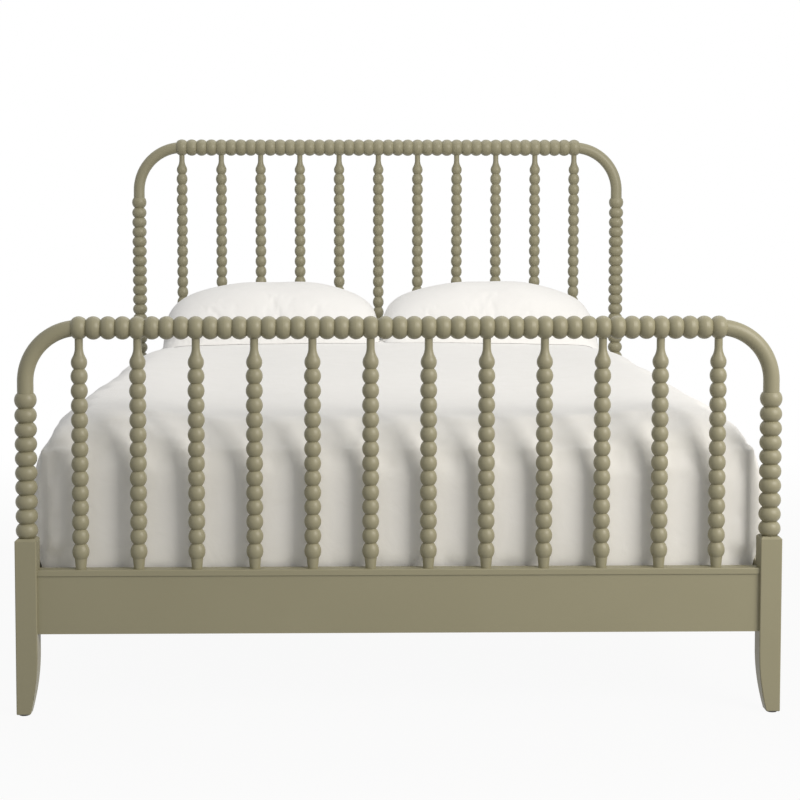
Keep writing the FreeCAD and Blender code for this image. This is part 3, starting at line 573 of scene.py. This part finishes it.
@dataclass
class SlatBase:
    """Ledgers, slats, centre beam and centre legs, with their screws, hangers, levellers and glides."""

    def dress(self, timbers: dict[Grain, bpy.types.Material], steel: bpy.types.Material,
              brass: bpy.types.Material, nylon: bpy.types.Material) -> None:
        """Dress each timber along its own grain, then the metal and the nylon.

        Args:
            timbers: Pine for each direction of grain.
            steel: The plated steel.
            brass: The threaded inserts' metal.
            nylon: The glides' plastic.
        """
        dress(["slats"], timbers[Grain.ACROSS])
        dress(["slat_ledger_left", "slat_ledger_right", "centre_beam"], timbers[Grain.ALONG])
        dress(["centre_leg_head", "centre_leg_foot"], timbers[Grain.UPRIGHT])
        dress(["slat_screws", "ledger_screws", "beam_hangers", "leveller_head", "leveller_foot"], steel)
        dress(["threaded_inserts"], brass)
        dress(["floor_glides"], nylon)


@dataclass
class Mattress:
    """A quilted mattress with a bound tape round its top and bottom edges."""

    node: str = "mattress"
    body: str = "mattress_body"
    inset: float = 0.004
    corner_radius: float = 0.066
    corner_steps: int = 8
    edge_radius: float = 0.041
    edge_steps: int = 6
    cell: float = 0.014
    smoothing: int = 4
    quilt_pitch: float = 0.170
    quilt_depth: float = 0.007
    stitch_width: float = 0.020
    # The border's rows of stitches, as shares of the height.
    border_rows: Span = (0.36, 0.64)
    # How squarely a face looks up, down or aside where its stitches begin, and where they are full.
    squareness: Span = (0.6, 0.95)
    tape_radius: float = 0.006
    tape_corner_steps: int = 10
    tape_round_steps: int = 3

    def build(self, ticking: bpy.types.Material, tape: bpy.types.Material) -> None:
        """Make the quilted body and its two tapes.

        Args:
            ticking: The cover's finish.
            tape: The binding's finish.
        """
        low, high = (Vector(corner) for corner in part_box(self.node))
        body = self.quilted(low, high)
        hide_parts(self.node)
        wrap_up(body, ticking, self.body)
        drop = self.edge_radius * (1.0 - math.sqrt(0.5)) + self.inset
        for word, level in (("top", high.z - drop), ("bottom", low.z + drop)):
            bound = self.binding(f"mattress_tape_{word}", low, high, level, drop)
            wrap_up(bound, tape, self.body)

    def quilted(self, low: Vector, high: Vector) -> bpy.types.Object:
        """Make the soft block, rounded at its edges and pulled in along its stitches.

        Args:
            low: The lowest corner of the CAD solid.
            high: Its highest corner.

        Returns:
            The body.
        """
        bpy.ops.object.select_all(action="DESELECT")
        size = high - low - Vector((2 * self.inset, 2 * self.inset, self.inset))
        middle = (low + high) / 2 - Vector((0, 0, self.inset / 2))
        bpy.ops.mesh.primitive_cube_add(size=1.0, location=middle)
        body = bpy.context.object
        body.name = "mattress_cover"
        body.scale = size
        settle_transform(body)
        bevel_edges(body, lambda a, b: abs(a.z - b.z) > LEVEL, self.corner_radius, self.corner_steps)
        bevel_edges(body, lambda a, b: abs(a.z - b.z) < LEVEL, self.edge_radius, self.edge_steps)
        remesh(body, self.cell)
        relax(body, self.smoothing)
        points = points_of(body)
        normals = normals_of(body)
        move_points(body, points - normals * self.pull(points, normals, low, high)[:, None])
        return body

    def pull(self, points: np.ndarray, normals: np.ndarray, low: Vector, high: Vector) -> np.ndarray:
        """Give how far the stitching pulls each point in: diamonds on the panels, two rows on the border.

        Args:
            points: The body's points.
            normals: Their outward directions.
            low: The lowest corner of the CAD solid.
            high: Its highest corner.

        Returns:
            A depth for each point.
        """
        flat = ramp(self.squareness, np.abs(normals[:, 2]))
        upright = ramp(self.squareness, 1.0 - np.abs(normals[:, 2]))
        depth = np.zeros(len(points))
        for slant in (points[:, 0] + points[:, 1], points[:, 0] - points[:, 1]):
            off = np.abs((slant / self.quilt_pitch + 0.5) % 1.0 - 0.5) * self.quilt_pitch
            depth = np.maximum(depth, np.exp(-(off / self.stitch_width) ** 2) * flat)
        for share in self.border_rows:
            off = np.abs(points[:, 2] - (low.z + share * (high.z - low.z)))
            depth = np.maximum(depth, np.exp(-(off / self.stitch_width) ** 2) * upright)
        return depth * self.quilt_depth

    def binding(self, name: str, low: Vector, high: Vector, level: float, drop: float) -> bpy.types.Object:
        """Make one tape that runs round the mattress.

        Args:
            name: The piece's name.
            low: The lowest corner of the CAD solid.
            high: Its highest corner.
            level: The tape's height.
            drop: How far the tape lies inside the sides.

        Returns:
            The tape.
        """
        bpy.ops.object.select_all(action="DESELECT")
        middle = (low + high) / 2
        bpy.ops.mesh.primitive_plane_add(size=1.0, location=(middle.x, middle.y, level))
        tape = bpy.context.object
        tape.name = name
        tape.scale = (high.x - low.x - 2 * drop, high.y - low.y - 2 * drop, 1.0)
        settle_transform(tape)
        bpy.ops.object.mode_set(mode="EDIT")
        bpy.ops.mesh.select_all(action="SELECT")
        bpy.ops.mesh.bevel(offset=self.corner_radius, segments=self.tape_corner_steps, affect="VERTICES")
        bpy.ops.mesh.delete(type="ONLY_FACE")
        bpy.ops.object.mode_set(mode="OBJECT")
        bpy.ops.object.convert(target="CURVE")
        tape.data.bevel_depth = self.tape_radius
        tape.data.bevel_resolution = self.tape_round_steps
        bpy.ops.object.convert(target="MESH")
        return bpy.context.object


@dataclass
class Duvet:
    """A thick white duvet, tucked in round the mattress, soft and barely creased."""

    node: str = "duvet"
    body: str = "duvet_body"
    mattress: str = "mattress"
    # What it passes when it is lifted off, and the room that it leaves.
    rail: str = "foot_top_rail"
    room: float = 0.002
    cell: float = 0.011
    # How far from the mattress the outer face begins, and where it is free.
    skin: Span = (0.006, 0.020)
    # How much fuller than the CAD solid it is over its shoulders, and at its corners by the foot posts.
    plump: float = 0.016
    tuck: float = 0.016
    # The shoulders fill out outward and upward between these places, and thin out towards the head.
    full_outward: Span = (0.40, 0.62)
    full_upward: Span = (0.48, 0.60)
    full_headward: Span = (0.25, 0.50)
    # The left shoulder is the fuller one, by this share for each metre from the middle.
    lean: float = 0.3
    # By the foot posts they lose this share of it, outward and towards the foot.
    slim: float = 0.85
    slim_outward: Span = (0.60, 0.71)
    slim_footward: Span = (-0.98, -0.76)
    # The corners by the foot posts fill out above the first heights and thin out above the second.
    tuck_start: Span = (0.33, 0.36)
    tuck_end: Span = (0.46, 0.56)
    # The filling settles into a rounder shape above these heights.
    settled: Span = (0.33, 0.42)
    settling: int = 24
    smoothing: int = 4
    rolls: Rumple = Rumple(height=0.004, size=(0.40, 0.46, 0.40), offset=3.1)
    folds: Rumple = Rumple(height=0.0022, size=(0.15, 0.24, 0.15), offset=7.7)
    # The gathers fade out from this far above the hem to this far below the top.
    gathers: Rumple = Rumple(height=0.0020, size=(0.055, 0.055, 0.40), offset=13.9)
    gather_rise: float = 0.06
    gather_drop: float = 0.12
    simulation: Simulation = Simulation(pressure=1.2, moments=12, tension=12.0, compression=12.0,
                                        bending=0.8, slack=0.008, reach=0.004)

    def build(self, cotton: bpy.types.Material) -> bpy.types.Object:
        """Make the duvet over the mattress.

        Args:
            cotton: The cover's finish.

        Returns:
            The duvet, whose top the pillows lie on.
        """
        cover = copy_node(self.node, "duvet_cover", self.cell)
        outside = self.outside(points_of(cover))
        free = outside * ramp(self.settled, points_of(cover)[:, 2])
        steps = ((self.fullness, free, self.settling), (self.relief, outside, self.smoothing))
        for shape, share, rounds in steps:
            points = points_of(cover)
            normals = normals_of(cover)
            move_points(cover, points + normals * (shape(points, normals) * outside)[:, None])
            before = points_of(cover)
            relax(cover, rounds)
            move_points(cover, before + (points_of(cover) - before) * share[:, None])
        self.simulation.run(cover, 1.0 - outside)
        points = points_of(cover)
        points[:, 1] = np.maximum(points[:, 1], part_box(self.rail)[1][1] + self.room)
        move_points(cover, points)
        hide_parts(self.node)
        wrap_up(cover, cotton, self.body)
        return cover

    def outside(self, points: np.ndarray) -> np.ndarray:
        """Give 1 on the duvet's outer face and 0 where it lies on the mattress.

        Args:
            points: The duvet's points.

        Returns:
            A share for each point.
        """
        low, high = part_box(self.mattress)
        beyond = np.maximum(np.abs(points[:, 0]) - high[0], low[1] - points[:, 1])
        depth = np.maximum(beyond, points[:, 2] - high[2])
        return ramp(self.skin, depth)

    def fullness(self, points: np.ndarray, normals: np.ndarray) -> np.ndarray:
        """Give how far the filling stands out over the shoulders and at the corners by the foot posts.

        Args:
            points: The duvet's points.
            normals: Their outward directions.

        Returns:
            A height for each point.
        """
        aside, along, up = np.abs(points[:, 0]), points[:, 1], points[:, 2]
        shoulder = ramp(self.full_outward, aside) * ramp(self.full_upward, up)
        shoulder *= 1.0 - ramp(self.full_headward, along)
        lost = self.slim * ramp(self.slim_outward, aside) * (1.0 - ramp(self.slim_footward, along))
        shoulder *= 1.0 - lost
        # This is 1 where the cover looks diagonally past a foot post.
        corner = np.clip(-2.0 * np.abs(normals[:, 0]) * normals[:, 1], 0.0, 1.0)
        low = ramp(self.tuck_start, up) * (1.0 - ramp(self.tuck_end, up))
        return self.plump * shoulder * (1.0 - self.lean * points[:, 0]) + self.tuck * corner * low

    def relief(self, points: np.ndarray, normals: np.ndarray) -> np.ndarray:
        """Give the height of the duvet's soft rolls and folds, and of the gathers down its sides.

        Args:
            points: The duvet's points.
            normals: Their outward directions.

        Returns:
            A height for each point.
        """
        low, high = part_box(self.node)
        fade = (low[2] + self.gather_rise, high[2] - self.gather_drop)
        upright = 1.0 - np.abs(normals[:, 2])
        gathers = self.gathers.at(points) * (1.0 - ramp(fade, points[:, 2])) * upright
        return self.rolls.at(points) + self.folds.at(points) + gathers - self.rolls.height


@dataclass
class Pillow:
    """A plump pillow in a plain case, its seam pressed down to the duvet by its own weight."""

    side: Side
    cell: float = 0.007
    smoothing: int = 6
    # The heights over its lowest point between which it becomes free to move.
    freed: Span = (0.0, 0.03)
    dent: float = 0.004
    dent_size: Place = (0.20, 0.17, 0.20)
    pucker: float = 0.0016
    pucker_size: Place = (0.034, 0.034, 0.30)
    # The puckers run this far up from the seam.
    pucker_height: float = 0.110
    # Where the dents of each pillow start in their pattern, and how much further on the puckers do.
    left_pattern: float = 2.3
    right_pattern: float = 6.1
    pucker_pattern: float = 4.0
    # The underside gives way to the duvet over this height, and is pressed flat over this part of it.
    give: float = 0.070
    press: float = 0.009
    # The gap left to the duvet, and how far above the pillow the duvet is looked for.
    rest: float = 0.0008
    outlook: float = 1.0
    # The two pillows crowd towards the middle of the bed: their outer reach there, and a power over 1.
    crowd_reach: float = 0.980
    crowd: float = 1.05
    simulation: Simulation = Simulation(pressure=3.0, moments=16, tension=14.0, compression=8.0,
                                        bending=0.5, slack=0.014, reach=0.007)

    def build(self, cotton: bpy.types.Material, duvet: bpy.types.Object) -> None:
        """Make the pillow and lay it on the duvet.

        Args:
            cotton: The case's finish.
            duvet: What it lies on.
        """
        node = f"pillow_{self.side.value}"
        case = copy_node(node, f"{node}_case", self.cell)
        relax(case, self.smoothing)
        low, high = (np.array(corner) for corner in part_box(node))
        points = points_of(case)
        above = ramp(self.freed, points[:, 2] - low[2])
        move_points(case, points + normals_of(case) * (self.relief(points, low) * above)[:, None])
        self.simulation.run(case, 1.0 - above)
        finer = case.modifiers.new("finer", "SUBSURF")
        finer.levels = 1
        finer.render_levels = 1
        apply_modifier(case, finer)
        self.huddle(case, low, high)
        self.lay(case, low, high, duvet)
        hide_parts(node)
        wrap_up(case, cotton, f"{node}_body")

    def relief(self, points: np.ndarray, low: np.ndarray) -> np.ndarray:
        """Give the height of the pillow's dents and of the puckers above its seam.

        Args:
            points: The case's points.
            low: The lowest corner of the CAD solid.

        Returns:
            A height for each point.
        """
        pattern = self.left_pattern if self.side is Side.LEFT else self.right_pattern
        dents = Rumple(self.dent, self.dent_size, pattern).at(points)
        puckers = Rumple(self.pucker, self.pucker_size, pattern + self.pucker_pattern).at(points)
        fade = 1.0 - ramp((0.0, self.pucker_height), points[:, 2] - low[2])
        return dents + puckers * fade - self.dent / 2

    def huddle(self, case: bpy.types.Object, low: np.ndarray, high: np.ndarray) -> None:
        """Move the stuffing towards the other pillow.

        Args:
            case: The stuffed case.
            low: The lowest corner of the CAD solid.
            high: Its highest corner.
        """
        points = points_of(case)
        reach = max(-low[0], high[0])
        share = np.clip(np.abs(points[:, 0]) / reach, 0.0, None)
        points[:, 0] = np.sign(points[:, 0]) * reach * self.crowd_reach * share ** self.crowd
        move_points(case, points)

    def lay(self, case: bpy.types.Object, low: np.ndarray, high: np.ndarray,
            duvet: bpy.types.Object) -> None:
        """Let the pillow's underside follow the duvet.

        Args:
            case: The stuffed case.
            low: The lowest corner of the CAD solid.
            high: Its highest corner.
            duvet: What it lies on.
        """
        ground = BVHTree.FromObject(duvet, bpy.context.evaluated_depsgraph_get())
        points = points_of(case)
        height = points[:, 2] - low[2]
        soft = 1.0 - ramp((0.0, self.give), height)
        pressed = np.clip((height - self.press) / (self.give - self.press), 0.0, 1.0) * self.give
        down = Vector((0.0, 0.0, -1.0))
        for i in np.flatnonzero(soft):
            above = Vector((points[i, 0], points[i, 1], high[2] + self.outlook))
            hit = ground.ray_cast(above, down)[0]
            if hit:
                seat = hit.z + self.rest
                points[i, 2] = max(low[2] + pressed[i] + (seat - low[2]) * soft[i], seat)
        move_points(case, points)


@dataclass(frozen=True)
class SoftLamp:
    """A square studio lamp, large enough to soften its shadows."""

    name: str
    place: Place
    aim: Place
    size: float
    watts: float
    colour: str

    def hang(self) -> None:
        """Hang the lamp at its place, facing its aim."""
        light = bpy.data.lights.new(self.name, "AREA")
        light.size = self.size
        light.energy = self.watts
        light.color = linear(self.colour)[:3]
        lamp = bpy.data.objects.new(self.name, light)
        lamp.location = self.place
        lamp.rotation_euler = (Vector(self.aim) - Vector(self.place)).to_track_quat("-Z", "Y").to_euler()
        bpy.context.scene.collection.objects.link(lamp)


@dataclass
class Studio:
    """A white floor and surround, soft lamps from the upper right, and the photograph's camera."""

    eye: Place = (-0.1246, -4.7212, 1.0715)
    pitch: float = math.radians(86.5)
    heading: float = math.radians(-1.0)
    lens: float = 78.092
    sensor: float = 36.0
    shift: tuple[float, float] = (0.0361, -0.1028)
    key: SoftLamp = SoftLamp("key", (3.0, -3.6, 2.9), (0.0, -0.5, 0.5), 2.5, 166.0, "#fffaf2")
    overhead: SoftLamp = SoftLamp("overhead", (0.2, 0.9, 3.4), (0.0, 0.4, 0.5), 2.6, 22.0, WHITE)
    surround: float = 0.45
    floor_size: float = 40.0
    floor_colour: str = "#a8a7a4"
    # How white the floor looks under the bed, and the distances over which it turns fully white.
    floor_white: float = 0.94
    floor_fade: Span = (1.4, 3.2)

    def build(self) -> None:
        """Make the floor, the surround, the lamps and the camera."""
        self.floor()
        self.world()
        self.key.hang()
        self.overhead.hang()
        self.camera()
        bpy.context.scene.view_settings.view_transform = "Standard"

    def floor(self) -> None:
        """Lay a white floor that takes the bed's shadow faintly and looks white to the camera elsewhere."""
        bpy.ops.object.select_all(action="DESELECT")
        bpy.ops.mesh.primitive_plane_add(size=self.floor_size)
        plane = bpy.context.object
        plane.name = "studio_floor"
        paper = FinishGraph("white_paper")
        place = paper.add("TexCoord").outputs["Object"]
        far = paper.add("VectorMath", {0: place}, operation="LENGTH")
        cover = paper.add("MapRange", {"Value": far.outputs["Value"], "From Min": self.floor_fade[0],
                                       "From Max": self.floor_fade[1], "To Min": self.floor_white,
                                       "To Max": 1.0})
        share = paper.add("Math", {0: paper.shown(), 1: cover.outputs["Result"]}, operation="MULTIPLY")
        matt = paper.add("BsdfDiffuse", {"Color": linear(self.floor_colour)})
        white = paper.add("Emission", {"Color": linear(WHITE), "Strength": 1.0})
        mixed = paper.add("MixShader", {0: share.outputs[0], 1: matt.outputs[0], 2: white.outputs[0]})
        paper.add("OutputMaterial", {"Surface": mixed.outputs[0]})
        plane.data.materials.append(paper.material)

    def world(self) -> None:
        """Surround the bed with soft light that looks white where it is seen."""
        world = bpy.data.worlds.new("white_surround")
        bpy.context.scene.world = world
        sky = Graph(world)
        level = sky.add("MapRange", {"Value": sky.shown(), "To Min": self.surround, "To Max": 1.0})
        glow = sky.add("Background", {"Color": linear(WHITE), "Strength": level.outputs["Result"]})
        sky.add("OutputWorld", {"Surface": glow.outputs[0]})

    def camera(self) -> None:
        """Put the camera where the photograph was taken from."""
        optics = bpy.data.cameras.new("camera")
        optics.sensor_width = self.sensor
        optics.lens = self.lens
        optics.shift_x, optics.shift_y = self.shift
        camera = bpy.data.objects.new("camera", optics)
        camera.location = self.eye
        camera.rotation_euler = (self.pitch, 0.0, self.heading)
        bpy.context.scene.collection.objects.link(camera)
        bpy.context.scene.camera = camera


def main() -> None:
    """Build and dress the bed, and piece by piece."""
    logging.basicConfig(level=logging.INFO, format="%(message)s")
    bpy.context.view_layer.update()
    paint = SatinEnamel().material()
    steel = PlatedMetal("zinc_plated_steel", "#b4b7b8", "#9a9ea1").material()
    brass = PlatedMetal("turned_brass", "#b8964f", "#9c7c3c", smooth=0.22, rough=0.36).material()
    nylon = MouldedNylon().material()
    timbers = {grain: PlanedPine(f"planed_pine_{grain.name.lower()}", grain).material() for grain in Grain}
    percale = WovenCotton("white_cotton_percale", "#f4f3f1", "#efeeeb").material()
    casing = WovenCotton("pillow_percale", "#f6f5f3", "#f1f0ee", crease_mm=60.0).material()
    ticking = WovenCotton("knitted_ticking", "#ebe8e1", "#e2ded5", thread_mm=2.4,
                          crease_depth=0.001).material()
    tape = WovenCotton("binding_tape", "#cdc7ba", "#bfb9ab", thread_mm=1.6,
                       crease_depth=0.0005).material()
    for end in End:
        EndBoard(end).dress(paint)
    SideRails().dress(paint, steel)
    SlatBase().dress(timbers, steel, brass, nylon)
    Mattress().build(ticking, tape)
    duvet = Duvet().build(percale)
    for side in Side:
        Pillow(side).build(casing, duvet)
    Studio().build()


if __name__ == "__main__":
    main()
